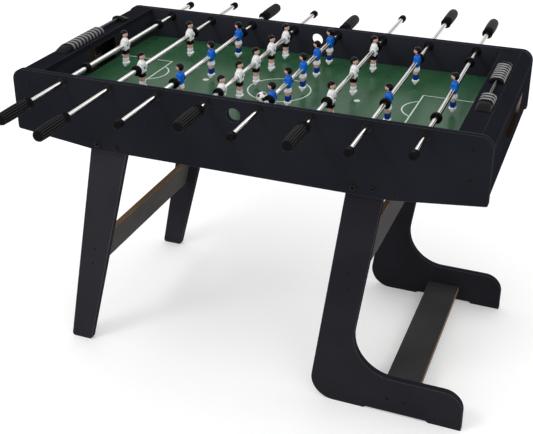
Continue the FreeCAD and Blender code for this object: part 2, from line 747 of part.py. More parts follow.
for number, kind, men, handle in RODS:
    figures = [(figure, f"{kind}_step * {man - (men - 1) / 2}") for man in range(men)]
    on_rod(f"rod_{number}", [(tubes[kind], "0")], number, handle)
    on_rod(f"men_{number}", figures, number, handle)
    on_rod(f"handle_and_cap_{number}", [(grip, f"-{kind}_grip"), (cap, f"{kind}_cap")], number, handle)
    on_rod(f"bumpers_{number}", [(bumper, f"-{kind}_bump"), (bumper, f"{kind}_bump")], number, handle)

ball = doc.addObject("Part::Sphere", "ball")
bind(ball, "Radius", "ball_r")
place(ball, "ball_x", "ball_y", "field_top + ball_r")
node("ball", ball)

# --- Check and write -----------------------------------------------------------------------

doc.recompute()
for thing in doc.Objects:
    if any(word in thing.State for word in ("Invalid", "Error")):
        raise RuntimeError(f"{thing.Name} failed to build: {thing.State}")
os.makedirs("parts", exist_ok=True)
for label, thing in nodes.items():
    shape = thing.Shape
    if shape.isNull() or not shape.isValid() or not shape.Solids:
        raise RuntimeError(f"{label} has no valid shape")
    shape.exportStep(f"parts/{label}.step")
    bounds = shape.BoundBox
    print(f"{label}: {len(shape.Solids)} solids, {shape.Volume / 1000:.1f} cm3, "
          f"x {bounds.XMin:.1f} {bounds.XMax:.1f}, y {bounds.YMin:.1f} {bounds.YMax:.1f}, "
          f"z {bounds.ZMin:.1f} {bounds.ZMax:.1f}")
print(f"{len(nodes)} nodes written")
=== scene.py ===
"""The looks of the foosball table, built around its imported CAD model. Metres, in the model's own frame."""
import math

import bmesh
import bpy
from mathutils import Matrix, Vector


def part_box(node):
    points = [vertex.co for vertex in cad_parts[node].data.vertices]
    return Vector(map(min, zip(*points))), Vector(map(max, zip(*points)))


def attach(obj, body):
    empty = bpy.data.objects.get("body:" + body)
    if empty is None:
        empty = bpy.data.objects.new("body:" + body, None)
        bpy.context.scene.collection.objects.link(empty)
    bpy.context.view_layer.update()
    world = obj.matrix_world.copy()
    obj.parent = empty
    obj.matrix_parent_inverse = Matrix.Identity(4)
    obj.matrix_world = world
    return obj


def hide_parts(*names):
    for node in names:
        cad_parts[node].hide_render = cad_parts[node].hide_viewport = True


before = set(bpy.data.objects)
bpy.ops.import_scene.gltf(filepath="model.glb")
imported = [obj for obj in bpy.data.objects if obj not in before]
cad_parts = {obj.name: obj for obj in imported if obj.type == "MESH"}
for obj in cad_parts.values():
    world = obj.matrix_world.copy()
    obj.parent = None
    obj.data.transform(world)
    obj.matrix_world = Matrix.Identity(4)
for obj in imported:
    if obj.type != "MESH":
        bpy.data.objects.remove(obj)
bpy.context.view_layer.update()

MM = 0.001
WHITE_RODS = (1, 2, 4, 6)
MEN_ON_ROD = {1: 1, 2: 2, 3: 3, 4: 5, 5: 5, 6: 3, 7: 2, 8: 1}


# --- Materials -----------------------------------------------------------------------------

EDGE_RADIUS = 0.0016      # how far the boards' edges are rounded, in metres
EDGE_HIGHLIGHT = 8             # how much lighter than the foil the painted highlight along an edge is
INSIDE_PAINTED_LIGHT = (1.9, 2.2)  # how much paler the side panels' foil is painted inside, as painted light, at least and at most
# bare fibreboard, its darker and its lighter fibres; the second pair is the bare board painted darker, as painted
# shade
DARK_CORE = ((0.006, 0.004, 0.003), (0.014, 0.009, 0.006))
SHADED_CORE = ((0.020, 0.012, 0.008), (0.050, 0.030, 0.020))
ORANGE_CORE = ((0.13, 0.068, 0.034), (0.30, 0.175, 0.095))
TAN_CORE = ((0.24, 0.165, 0.12), (0.44, 0.33, 0.25))
PANEL_BLACK = (0.0122, 0.0128, 0.0168)


class Tree:
    """A short way to write a material's nodes."""

    def __init__(self, name, base, roughness, metallic=0.0, specular=0.5, coat=0.0, coat_roughness=0.1):
        self.material = bpy.data.materials.new(name)
        self.material.use_nodes = True
        self.material.diffuse_color = (*base, 1)
        self.links = self.material.node_tree.links
        self.nodes = self.material.node_tree.nodes
        self.shader = self.nodes["Principled BSDF"]
        self.set("Base Color", (*base, 1))
        self.set("Roughness", roughness)
        self.set("Metallic", metallic)
        self.set("Specular IOR Level", specular)
        self.set("Coat Weight", coat)
        self.set("Coat Roughness", coat_roughness)
        self.bumps = None

    def set(self, socket, value):
        """Give a socket of the shader one value for the whole surface."""
        self.shader.inputs[socket].default_value = value

    def new(self, kind, **inputs):
        """A node with its inputs set or linked; underscores in a name stand for spaces."""
        node = self.nodes.new(kind)
        for name, value in inputs.items():
            socket = node.inputs[int(name[1:])] if name[0] == "i" and name[1:].isdigit() else (
                node.inputs[name.replace("_", " ")])
            if isinstance(value, bpy.types.NodeSocket):
                self.links.new(value, socket)
            else:
                socket.default_value = value
        return node

    def object_place(self, scale=(1, 1, 1)):
        """The point on the piece at rest, stretched by scale."""
        place = self.new("ShaderNodeTexCoord").outputs["Object"]
        return self.new("ShaderNodeMapping", Vector=place, Scale=scale).outputs["Vector"]

    def noise(self, size, detail=3.0, stretch=(1, 1, 1), roughness=0.55):
        """Noise from 0 to 1 whose blotches are about size metres wide."""
        place = self.object_place(stretch)
        node = self.new("ShaderNodeTexNoise", Vector=place, Scale=1 / size, Detail=detail, Roughness=roughness)
        return node.outputs["Fac"]

    def ramp(self, value, low, high, start=0.0, end=1.0):
        """A value taken from low..high to start..end, held at the ends."""
        node = self.new("ShaderNodeMapRange", Value=value, From_Min=low, From_Max=high, To_Min=start, To_Max=end)
        return node.outputs["Result"]

    def mix(self, share, first, second):
        """A colour between two colours."""
        node = self.nodes.new("ShaderNodeMix")
        node.data_type = "RGBA"
        for socket, value in ((node.inputs[0], share), (node.inputs[6], first), (node.inputs[7], second)):
            if isinstance(value, bpy.types.NodeSocket):
                self.links.new(value, socket)
            elif isinstance(value, tuple):
                socket.default_value = (*value, 1)
            else:
                socket.default_value = value
        return node.outputs[2]

    def math(self, operation, *values):
        """The result of a sum or comparison of numbers and sockets."""
        node = self.nodes.new("ShaderNodeMath")
        node.operation = operation
        for socket, value in zip(node.inputs, values):
            if isinstance(value, bpy.types.NodeSocket):
                self.links.new(value, socket)
            else:
                socket.default_value = value
        return node.outputs[0]

    def color(self, socket):
        self.links.new(socket, self.shader.inputs["Base Color"])

    def rough(self, socket):
        self.links.new(socket, self.shader.inputs["Roughness"])

    def bump(self, height, distance, strength=1.0):
        """Add a bump on top of those already there; distance in metres."""
        node = self.new("ShaderNodeBump", Height=height, Distance=distance, Strength=strength)
        if self.bumps is not None:
            self.links.new(self.bumps, node.inputs["Normal"])
        self.bumps = node.outputs["Normal"]
        self.links.new(self.bumps, self.shader.inputs["Normal"])

    def soft_edges(self, radius):
        """Edges that catch the light as if rounded by radius."""
        node = self.new("ShaderNodeBevel", Radius=radius)
        node.samples = 4
        self.bumps = node.outputs["Normal"]
        self.links.new(self.bumps, self.shader.inputs["Normal"])
        return self.bumps


def tinted(color, factor):
    return tuple(part * factor for part in color)


def laminate(name, base, wide_axis=None, bare=ORANGE_CORE, darker_board=None, inner=None):
    """Satin dark foil on fibreboard, with a painted highlight along its edges.

    With a wide axis, every face that isn't square to it shows bare board. The darker board colour, if given, is a
    painted shadow over the board's inner half, and also covers the stretch round y = 0. Nearer the table's middle
    than y = inner, the foil is painted paler, as painted light.
    """
    tree = Tree(name, base, 0.6, specular=0.0)
    rounded = tree.soft_edges(EDGE_RADIUS)
    cloud = tree.noise(0.22, 2.0)
    grain = tree.noise(0.0016, 2.0, (0.35, 1, 1))
    darker = tinted(base, 0.88)
    foil = tree.mix(tree.ramp(cloud, 0.35, 0.65), darker, tinted(base, 1.14))
    foil = tree.mix(tree.ramp(grain, 0.45, 0.65, 0.0, 0.4), foil, darker)
    flat = tree.new("ShaderNodeNewGeometry").outputs["Normal"]
    bent = tree.new("ShaderNodeVectorMath", i0=rounded, i1=flat)
    bent.operation = "DOT_PRODUCT"
    spot = tree.new("ShaderNodeSeparateXYZ", Vector=tree.object_place())
    if inner:
        # painted light: nearer the table's middle the foil is painted paler
        inside = tree.math("LESS_THAN", tree.math("ABSOLUTE", spot.outputs["Y"]), inner)
        pale = tree.mix(tree.ramp(cloud, 0.35, 0.65), *(tinted(base, factor) for factor in INSIDE_PAINTED_LIGHT))
        foil = tree.mix(inside, foil, pale)
    # painted highlight: the rounded edges are painted lighter than the foil, in patches
    edges = tree.ramp(bent.outputs["Value"], 0.995, 0.86)
    edge_highlight = tree.math("MULTIPLY", edges, tree.ramp(cloud, 0.3, 0.6, 0.5, 1.0))
    foil = tree.mix(edge_highlight, foil, tinted(base, EDGE_HIGHLIGHT))
    roughness = tree.math("ADD", tree.ramp(grain, 0.4, 0.65, 0.56, 0.62), tree.ramp(cloud, 0.4, 0.6, -0.03, 0.03))
    if wide_axis is None:
        tree.color(foil)
        tree.rough(roughness)
    else:
        fibre = tree.noise(0.0016, 4.0)
        board = tree.mix(tree.ramp(fibre, 0.35, 0.65), *bare)
        turned = tree.new("ShaderNodeTexCoord").outputs["Normal"]
        along = tree.new("ShaderNodeVectorMath", i0=turned, i1=wide_axis)
        along.operation = "DOT_PRODUCT"
        edge = tree.math("LESS_THAN", tree.math("ABSOLUTE", along.outputs["Value"]), 0.6)
        if darker_board:
            # darker round y = 0, and a painted shadow over the inner half of the board's thickness
            middle = tree.ramp(tree.math("ABSOLUTE", spot.outputs["Y"]), 0.115, 0.085)
            inside = tree.ramp(tree.math("ABSOLUTE", spot.outputs["X"]), 0.5995, 0.5970)
            darker_share = tree.math("MAXIMUM", middle, inside)
            board = tree.mix(darker_share, board, darker_board)
        tree.color(tree.mix(edge, foil, board))
        tree.rough(tree.math("ADD", roughness, tree.math("MULTIPLY", edge, 0.3)))
        tree.bump(tree.math("MULTIPLY", fibre, edge), 0.0003, 0.5)
    tree.bump(grain, 0.00003, 0.3)
    return tree.material


def raw_board():
    """Bare dark brown fibreboard with a fuzzy saw-cut face."""
    tree = Tree("raw_board", (0.035, 0.022, 0.015), 0.85, specular=0.1)
    fibre = tree.noise(0.002, 5.0)
    cloud = tree.noise(0.05, 2.0)
    body = tree.mix(tree.ramp(fibre, 0.3, 0.7), (0.022, 0.014, 0.010), (0.050, 0.032, 0.021))
    tree.color(tree.mix(tree.ramp(cloud, 0.4, 0.7, 0.0, 0.5), body, (0.02, 0.013, 0.009)))
    tree.bump(fibre, 0.0004, 0.6)
    return tree.material


def field_print():
    """The speckled green print of the playfield, with a soft shine."""
    tree = Tree("field_print", (0.035, 0.105, 0.058), 0.26, specular=0.13, coat=0.03, coat_roughness=0.1)
    cloud = tree.noise(0.10, 3.0)
    speck = tree.noise(0.0012, 2.0)
    turf = tree.mix(tree.ramp(cloud, 0.35, 0.65), (0.022, 0.078, 0.034), (0.032, 0.102, 0.048))
    tree.color(tree.mix(tree.ramp(speck, 0.45, 0.7, 0.0, 0.5), turf, (0.048, 0.135, 0.072)))
    tree.rough(tree.ramp(cloud, 0.3, 0.7, 0.25, 0.33))
    tree.bump(speck, 0.00004, 0.3)
    return tree.material


def printed_line():
    """The pale printed lines of the field, a little worn."""
    tree = Tree("field_line", (0.56, 0.64, 0.56), 0.35, specular=0.4)
    worn = tree.noise(0.004, 4.0)
    tree.color(tree.mix(tree.ramp(worn, 0.35, 0.75, 0.0, 0.3), (0.60, 0.70, 0.60), (0.40, 0.52, 0.43)))
    tree.rough(tree.ramp(worn, 0.3, 0.7, 0.28, 0.42))
    return tree.material


def chrome():
    """Polished tube with fine turning marks round it."""
    tree = Tree("chrome", (0.72, 0.72, 0.71), 0.2, metallic=1.0)
    marks = tree.noise(0.0011, 2.0, (0.05, 1, 0.05))
    smear = tree.noise(0.03, 3.0)
    tree.rough(tree.ramp(smear, 0.35, 0.7, 0.11, 0.19))
    tree.color(tree.mix(tree.ramp(smear, 0.4, 0.75, 0.0, 0.5), (0.66, 0.655, 0.64), (0.57, 0.55, 0.52)))
    tree.bump(marks, 0.00001, 0.3)
    return tree.material


def plastic(name, base, roughness, spot=0.25, grain=0.0006, depth=0.00003, specular=0.5):
    """Moulded plastic or paint: a fine grain, darker blotches of the strength spot, and an uneven sheen."""
    tree = Tree(name, base, roughness, specular=specular)
    cloud = tree.noise(0.012, 3.0)
    fine = tree.noise(grain, 2.0)
    tree.color(tree.mix(tree.ramp(cloud, 0.35, 0.7, 0.0, spot), base, tinted(base, 0.6)))
    tree.rough(tree.ramp(cloud, 0.3, 0.7, roughness * 0.85, min(1.0, roughness * 1.2)))
    tree.bump(fine, depth, 0.4)
    return tree.material


def fastener_metal():
    """Blackened screws with a trace of rust."""
    tree = Tree("fastener_metal", (0.008, 0.006, 0.005), 0.4, metallic=0.1, specular=0.12)
    rust = tree.noise(0.0025, 4.0)
    tree.color(tree.mix(tree.ramp(rust, 0.4, 0.65), (0.004, 0.0033, 0.003), (0.014, 0.008, 0.0055)))
    tree.rough(tree.ramp(rust, 0.35, 0.7, 0.35, 0.6))
    tree.bump(rust, 0.0001, 0.4)
    return tree.material


def backdrop():
    """The studio floor, nearly white, with a faint light of its own."""
    tree = Tree("backdrop", (0.86, 0.86, 0.86), 0.9, specular=0.1)
    cloud = tree.noise(1.4, 2.0)
    tree.color(tree.mix(tree.ramp(cloud, 0.3, 0.7), (0.88, 0.88, 0.88), (0.90, 0.90, 0.90)))
    tree.set("Emission Color", (1, 1, 1, 1))
    tree.set("Emission Strength", 0.2)
    return tree.material


MATERIAL = {
    "panel": laminate("panel_laminate", PANEL_BLACK),
    "side_panel": laminate("side_panel_laminate", PANEL_BLACK, inner=0.3),
    "leg": laminate("leg_laminate", (0.0225, 0.0222, 0.0270)),
    "ell": laminate("ell_laminate", (0.0165, 0.0162, 0.0200)),
    # painted light: the braces' foil is painted lighter than the legs', the L legs' upper brace most of all
    "brace": laminate("brace_laminate", (0.0720, 0.0665, 0.0650), (0.976, 0, 0.22)),
    "ell_brace_painted_light": laminate("ell_brace_painted_light_laminate", (0.0950, 0.0890, 0.0900), (0.976, 0, 0.22)),
    "foot_brace": laminate("foot_brace_laminate", (0.0460, 0.0445, 0.0470), (0, 0, 1)),
    "end": laminate("end_laminate", PANEL_BLACK, (1, 0, 0), TAN_CORE, (0.022, 0.014, 0.010)),
    # painted shade: the left end's bare board is the same as the right's, painted darker brown
    "shaded_end": laminate("shaded_end_laminate", PANEL_BLACK, (1, 0, 0), SHADED_CORE),
    "goal": laminate("goal_wall_laminate", (0.0235, 0.0245, 0.0320), (1, 0, 0), DARK_CORE),
    "raw": raw_board(),
    "box": plastic("ball_box_paint", (0.016, 0.013, 0.012), 0.7, specular=0.2),
    "field": field_print(),
    "line": printed_line(),
    "chrome": chrome(),
    "dark_rod": plastic("score_rod_black", (0.006, 0.006, 0.007), 0.18, specular=0.3),
    "fastener": fastener_metal(),
    "bushing": plastic("bushing_plastic", (0.004, 0.0036, 0.004), 0.35, specular=0.14),
    "handle": plastic("handle_plastic", (0.0060, 0.0056, 0.0062), 0.28, grain=0.0009, depth=0.00004, specular=0.015),
    "bumper": plastic("bumper_rubber", (0.003, 0.0028, 0.003), 0.4, grain=0.0008, depth=0.00006, specular=0.1),
    # painted highlight: the handles' ridge crests are painted pale
    "handle_ridge_highlight": plastic("handle_ridge_highlight_plastic", (0.042, 0.041, 0.043), 0.35, specular=0.015),
    "score": plastic("score_plastic", (0.0065, 0.0065, 0.0075), 0.25, specular=0.08),
    # painted highlight: the score beads' crests are painted pale grey
    "score_crest_highlight": plastic("score_crest_highlight_plastic", (0.13, 0.128, 0.135), 0.2, 0.6, specular=0.5),
    "white_shirt": plastic("white_paint", (0.88, 0.88, 0.89), 0.32, 0.1),
    "blue_shirt": plastic("blue_paint", (0.001, 0.130, 0.60), 0.24, 0.35, specular=0.22),
    "blue_sock": plastic("blue_sock_paint", (0.001, 0.040, 0.27), 0.3, 0.3, specular=0.2),
    "black_paint": plastic("black_paint", (0.004, 0.0035, 0.004), 0.3, specular=0.14),
    "hair": plastic("hair_paint", (0.005, 0.0035, 0.003), 0.2, specular=0.09),
    "skin": plastic("skin_paint", (0.74, 0.45, 0.37), 0.38, 0.2, specular=0.3),
    "ball_white": plastic("ball_white", (0.88, 0.88, 0.86), 0.32, 0.1),
    "ball_black": plastic("ball_black", (0.008, 0.008, 0.009), 0.3),
    "backdrop": backdrop(),
}


# --- Mesh tools ----------------------------------------------------------------------------


def ring(mesh, points):
    """New vertices at the points."""
    return [mesh.verts.new(point) for point in points]


def bridge(mesh, lower, upper, material):
    """Smooth faces between two rings; a ring may be a single point."""
    count = max(len(lower), len(upper))
    faces = []
    for number in range(count):
        after = (number + 1) % count
        corners = [lower[number % len(lower)], lower[after % len(lower)],
                   upper[after % len(upper)], upper[number % len(upper)]]
        face = mesh.faces.new(list(dict.fromkeys(corners)))
        face.material_index = material
        face.smooth = True
        faces.append(face)
    return faces


def close(mesh, ends, material):
    """Close each ring that isn't a single point with faces round its centre."""
    for end in ends:
        if len(end) > 1:
            centre = sum((vertex.co for vertex in end), Vector()) / len(end)
            bridge(mesh, end, [mesh.verts.new(centre)], material)


def lathe(mesh, profile, place, steps=48, shape=None, paint=None):
    """A closed turned surface about local Y through (radius, along) points, in millimetres.

    shape(turn, along) scales the radius at each point; paint(turn, along) gives a face's material.
    """
    rings = []
    for radius, along in profile:
        if radius < 1e-6:
            rings.append(ring(mesh, [place @ Vector((0, along * MM, 0))]))
            continue
        points = []
        for step in range(steps):
            turn = 2 * math.pi * step / steps
            size = radius * MM * (shape(turn, along) if shape else 1)
            points.append(place @ Vector((size * math.cos(turn), along * MM, size * math.sin(turn))))
        rings.append(ring(mesh, points))
    for number, (lower, upper) in enumerate(zip(rings, rings[1:])):
        faces = bridge(mesh, lower, upper, 0)
        if paint:
            along = (profile[number][1] + profile[number + 1][1]) / 2
            for step, face in enumerate(faces):
                face.material_index = paint(2 * math.pi * (step + 0.5) / steps, along)
    if len(rings[0]) > 1:
        bridge(mesh, rings[-1], rings[0], 0)


def loft(mesh, sections, place, steps=20, material=0):
    """A skin over level sections (height, half depth, half width, shift x, shift y, squareness) in mm."""
    rings = []
    for height, depth, width, shift_x, shift_y, square in sections:
        points = []
        for step in range(steps):
            turn = 2 * math.pi * step / steps
            across, aside = math.cos(turn), math.sin(turn)
            x = shift_x + depth * math.copysign(abs(across) ** (2 / square), across)
            y = shift_y + width * math.copysign(abs(aside) ** (2 / square), aside)
            points.append(place @ Vector((x * MM, y * MM, height * MM)))
        rings.append(ring(mesh, points))
    for lower, upper in zip(rings, rings[1:]):
        bridge(mesh, lower, upper, material)
    close(mesh, (rings[0], rings[-1]), material)


def dome(mesh, place, sizes, material, steps=20, levels=10, low=-90, high=90):
    """Part of an ellipsoid with half sizes in mm, between two latitudes in degrees."""
    rings = []
    for level in range(levels + 1):
        lat = math.radians(low + (high - low) * level / levels)
        flat = math.cos(lat)
        if flat < 1e-6:
            rings.append(ring(mesh, [place @ Vector((0, 0, sizes[2] * MM * math.sin(lat)))]))
            continue
        points = []
        for step in range(steps):
            turn = 2 * math.pi * step / steps
            points.append(place @ Vector((sizes[0] * MM * flat * math.cos(turn),
                                          sizes[1] * MM * flat * math.sin(turn),
                                          sizes[2] * MM * math.sin(lat))))
        rings.append(ring(mesh, points))
    for lower, upper in zip(rings, rings[1:]):
        bridge(mesh, lower, upper, material)
    close(mesh, (rings[0], rings[-1]), material)


def piece(name, mesh, body, materials, stands_for=(), sharp=42, subdivide=0):
    """Turn mesh work into an object that rides on a body and stands for CAD nodes.

    Edges sharper than sharp degrees stay crisp.
    """
    bmesh.ops.recalc_face_normals(mesh, faces=mesh.faces)
    for edge in mesh.edges:
        if len(edge.link_faces) == 2 and edge.calc_face_angle(0) > math.radians(sharp):
            edge.smooth = False
    data = bpy.data.meshes.new(name)
    mesh.to_mesh(data)
    mesh.free()
    for material in materials:
        data.materials.append(MATERIAL[material])
    thing = bpy.data.objects.new(name, data)
    bpy.context.scene.collection.objects.link(thing)
    if subdivide:
        smoother = thing.modifiers.new("smooth", "SUBSURF")
        smoother.levels = subdivide
        smoother.render_levels = subdivide
    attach(thing, body)
    if stands_for:
        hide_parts(*stands_for)


def at(x=0.0, y=0.0, z=0.0, turn=0.0, axis="Z"):
    """A place in metres, turned by degrees."""
    return Matrix.Translation((x, y, z)) @ Matrix.Rotation(math.radians(turn), 4, axis)


def curve(centre, radius, start, end, count, squash=1.0):
    """Points (radius, along) on an arc, angles in degrees from the radius axis."""
    points = []
    for number in range(count + 1):
        turn = math.radians(start + (end - start) * number / count)
        points.append((centre[0] + radius * math.cos(turn), centre[1] + radius * squash * math.sin(turn)))
    return points


# --- Boards kept from the CAD --------------------------------------------------------------

CAD_FINISH = {
    "side_panel_front": "side_panel", "side_panel_back": "side_panel",
    "end_top_left": "panel", "end_top_right": "panel",
    "end_panel_left": "shaded_end", "end_panel_right": "end", "goal_wall_left": "goal", "goal_wall_right": "goal",
    "playfield": "field", "ball_boxes": "box", "cleats_and_battens": "raw", "score_rods": "dark_rod",
    "l_leg_front": "ell", "l_leg_back": "ell", "straight_leg_front": "leg", "straight_leg_back": "leg",
    "l_leg_upper_brace": "ell_brace_painted_light", "straight_leg_brace": "brace", "l_leg_foot_brace": "foot_brace",
}
CAD_FINISH.update({f"rod_{number}": "chrome" for number in MEN_ON_ROD})
for node, finish in CAD_FINISH.items():
    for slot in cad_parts[node].material_slots:
        slot.material = MATERIAL[finish]


# --- Field markings ------------------------------------------------------------------------

FIELD_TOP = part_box("playfield")[1].z
LINE_WIDTH = 0.0036
LINE_HEIGHT = 0.0002      # the print's thickness, enough to keep it clear of the field
CIRCLE_RADIUS = 0.083
BOX_X, BOX_HALF_WIDTH = 0.362, 0.098
ARC_X, ARC_RADIUS = 0.391, 0.060
SPOT_X, SPOT_RADIUS = 0.212, 0.0085


def stroke(mesh, points, closed=False):
    """A flat printed line of even width through points (x, y) on the field."""
    count = len(points)
    rows = []
    for number, point in enumerate(points):
        before = points[number - 1] if number or closed else point
        after = points[(number + 1) % count] if number < count - 1 or closed else point
        along = (Vector(after) - Vector(before)).normalized()
        into = (Vector(point) - Vector(before)).normalized() if point != before else along
        widen = 1 / max(0.5, along.dot(into))
        side = Vector((-along.y, along.x)) * LINE_WIDTH / 2 * widen
        z = FIELD_TOP + LINE_HEIGHT
        rows.append([mesh.verts.new((*(Vector(point) + side), z)), mesh.verts.new((*(Vector(point) - side), z))])
    pairs = list(zip(rows, rows[1:]))
    if closed:
        pairs.append((rows[-1], rows[0]))
    for first, second in pairs:
        mesh.faces.new((first[0], first[1], second[1], second[0]))


def arc(centre_x, radius, start, end, count=64):
    """Points (x, y) on an arc round (centre_x, 0), in metres and degrees."""
    points = []
    for number in range(count + 1):
        turn = math.radians(start + (end - start) * number / count)
        points.append((centre_x + radius * math.cos(turn), radius * math.sin(turn)))
    return points


def field_markings():
    """The centre circle and line, the goal boxes with their arcs, and three spots."""
    mesh = bmesh.new()
    goal_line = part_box("goal_wall_right")[0].x
    side_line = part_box("side_panel_back")[0].y
    stroke(mesh, arc(0, CIRCLE_RADIUS, 0, 360)[:-1], closed=True)
    stroke(mesh, [(0, -side_line), (0, side_line)])
    spread = math.degrees(math.acos((ARC_X - BOX_X) / ARC_RADIUS))
    for side in (-1, 1):
        stroke(mesh, [(side * goal_line, -BOX_HALF_WIDTH), (side * BOX_X, -BOX_HALF_WIDTH),
                      (side * BOX_X, BOX_HALF_WIDTH), (side * goal_line, BOX_HALF_WIDTH)])
        middle = 180 if side > 0 else 0
        stroke(mesh, arc(side * ARC_X, ARC_RADIUS, middle - spread, middle + spread, 32))
    for centre_x in (-SPOT_X, 0, SPOT_X):
        outline = arc(centre_x, SPOT_RADIUS, 0, 360, 32)[:-1]
        mesh.faces.new([mesh.verts.new((x, y, FIELD_TOP + LINE_HEIGHT)) for x, y in outline])
    piece("field_markings", mesh, "table", ["line"])


# --- Fasteners -----------------------------------------------------------------------------


RECESS_SLOPE = 0.06       # how wide the sloping wall of a driver recess is, for a head of radius 1


def cross_recess(x, y):
    """Depth share of a cross-shaped driver recess, for a head of radius 1."""
    arm = 0.14
    reach = 0.58
    inside = max(min(reach - abs(x), arm - abs(y)), min(reach - abs(y), arm - abs(x)))
    return min(1.0, max(0.0, inside / RECESS_SLOPE))


def hex_recess(x, y):
    """Depth share of a six-sided key socket, for a head of radius 1."""
    reach = 0.42
    inside = reach - max(abs(x), abs(x) * 0.5 + abs(y) * 0.866)
    return min(1.0, max(0.0, inside / RECESS_SLOPE))


# radius, height, recess and recess depth of each kind of head, in mm
SCREW = (4.4, 1.5, cross_recess, 1.5)
LOCK_SCREW = (4.2, 0.3, cross_recess, 1.4)
LARGE_BOLT = (8.5, 4.8, hex_recess, 4.0)
SMALL_BOLT = (6.5, 3.4, hex_recess, 3.0)
HEAD_SUNK = 0.0003        # how deep a head's rim sits in the board, in metres


def head(mesh, place, radius, height, recess, depth, steps=48, levels=14):
    """A domed fastener head with a driver recess. It stands out along local -Y, in mm."""
    rings = []
    for level in range(levels + 1):
        share = level / levels
        points = []
        for step in range(steps if level else 1):
            turn = 2 * math.pi * step / steps
            x, y = share * math.cos(turn), share * math.sin(turn)
            top = height * math.sqrt(max(0.0, 1 - 0.75 * share ** 2)) - depth * recess(x, y)
            points.append(place @ Vector((x * radius * MM, -top * MM, y * radius * MM)))
        rings.append(ring(mesh, points))
    rim = [place @ Vector((radius * MM * math.cos(2 * math.pi * step / steps), HEAD_SUNK,
                           radius * MM * math.sin(2 * math.pi * step / steps))) for step in range(steps)]
    rings.append(ring(mesh, rim))
    for inner, outer in zip(rings, rings[1:]):
        bridge(mesh, inner, outer, 0)


def on_face(x, z, side, outer):
    """A place on an outer face of the front (-1) or back (1), with local -Y pointing outwards."""
    return at(x, side * outer, z) @ Matrix.Rotation(0 if side < 0 else math.pi, 4, "Z")


def fasteners():
    """The heads and nuts of the cabinet's screws, the leg bolts and the folding legs' lock screws."""
    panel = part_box("side_panel_back")[1].y
    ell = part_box("l_leg_back")[1].y
    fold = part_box("straight_leg_back")[1].y
    # places (x, z) in metres, the same at the front and the back
    panel_screws = [(-0.562, 0.765), (-0.562, 0.692), (0.562, 0.765), (0.562, 0.692),
                    (-0.228, 0.702), (0.228, 0.702), (0.396, 0.629)]
    ell_screws = [(0.2915, 0.385), (0.2915, 0.342), (0.406, 0.0425), (0.450, 0.0425)]
    fold_screws = [(-0.4177, 0.3034), (-0.4283, 0.2566)]
    large = [(-0.372, 0.628), (0.299, 0.629)]
    small = [(-0.317, 0.624), (0.346, 0.633)]
    screws = bmesh.new()
    bolts = bmesh.new()
    flush = bmesh.new()
    for side in (-1, 1):
        for number, (x, z) in enumerate(panel_screws):
            head(screws, on_face(x, z, side, panel) @ Matrix.Rotation(0.5 * number, 4, "Y"), *SCREW)
        for number, (x, z) in enumerate(ell_screws):
            head(screws, on_face(x, z, side, ell) @ Matrix.Rotation(0.7 * number, 4, "Y"), *SCREW)
        for number, (x, z) in enumerate(fold_screws):
            head(flush, on_face(x, z, side, fold) @ Matrix.Rotation(0.4 * number, 4, "Y"), *LOCK_SCREW)
        for x, z in large:
            head(bolts, on_face(x, z, side, panel), *LARGE_BOLT)
        for x, z in small:
            head(bolts, on_face(x, z, side, panel), *SMALL_BOLT)
        # reach is how far the nut's near face is from the panel's outer face
        for (x, z), reach, radius, thick in ((large[0], 34, 7, 6), (large[1], 33, 7, 6), (small[1], 33, 5.5, 5)):
            nut = [(0, reach), (radius - 0.8, reach), (radius, reach + 0.8), (radius, reach + thick - 0.8),
                   (radius - 0.8, reach + thick), (3.4, reach + thick), (3.4, reach + thick - 1.5),
                   (0, reach + thick - 1.5)]
            lathe(bolts, nut, on_face(x, z, side, panel), 6)
    piece("screw_heads", screws, "table", ["fastener"], ["cabinet_screws"], 35)
    piece("bolt_heads", bolts, "table", ["fastener"], ["leg_bolts"], 35)
    piece("fold_screw_heads", flush, "folding_legs", ["fastener"], ["straight_leg_screws"], 35)


# --- Bushings ------------------------------------------------------------------------------


def bushings():
    """A flange with a raised hub on both faces of each side panel, and the sleeve between them."""
    mesh = bmesh.new()
    half = 7.5  # of the panel's thickness, in mm
    face = [(6.6, half + 4), (8.6, half + 4)] + curve((8.6, half + 3.2), 0.8, 90, 0, 4)
    face += [(9.6, half + 2.0), (12.4, half + 1.6)] + curve((12.6, half + 0.8), 0.9, 90, -20, 5) + [(13.6, half)]
    profile = face + [(9.4, half), (9.4, -half)] + [(radius, -along) for radius, along in reversed(face)]
    for number in MEN_ON_ROD:
        low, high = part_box(f"rod_{number}")
        for panel in ("side_panel_front", "side_panel_back"):
            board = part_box(panel)
            lathe(mesh, profile, at((low.x + high.x) / 2, (board[0].y + board[1].y) / 2, (low.z + high.z) / 2), 40)
    piece("bushings", mesh, "table", ["bushing"], ["rod_bushings"])


# --- Rods' fittings ------------------------------------------------------------------------

# in mm
GRIP_LENGTH = 122
SLOT_START, SLOT_END = 27, 119
FLUTES = 16
FLUTE_DEPTH = 0.10        # share of the radius
RIDGE_HIGHLIGHT_WIDTH = 0.75        # the nearer to 1, the narrower the painted highlight on a ridge's crest
BUMPER_HALF = 0.0045      # half a bumper's length, in metres


def flute(turn, along):
    """Long hollows between the ridges of a handle, fading out at both ends."""
    reach = -along
    if not SLOT_START < reach < SLOT_END:
        return 1.0
    fade = min(1.0, (reach - SLOT_START) / 5, (SLOT_END - reach) / 9)
    ridge = (0.5 + 0.5 * math.cos(FLUTES * turn)) ** 1.6
    return 1.0 - FLUTE_DEPTH * math.sqrt(fade) * (1 - ridge)


def ridge_highlight_paint(turn, along):
    """The crest of each ridge takes its own material, a painted highlight."""
    return 1 if SLOT_START + 2 < -along < SLOT_END - 1 and math.cos(FLUTES * turn) > RIDGE_HIGHLIGHT_WIDTH else 0


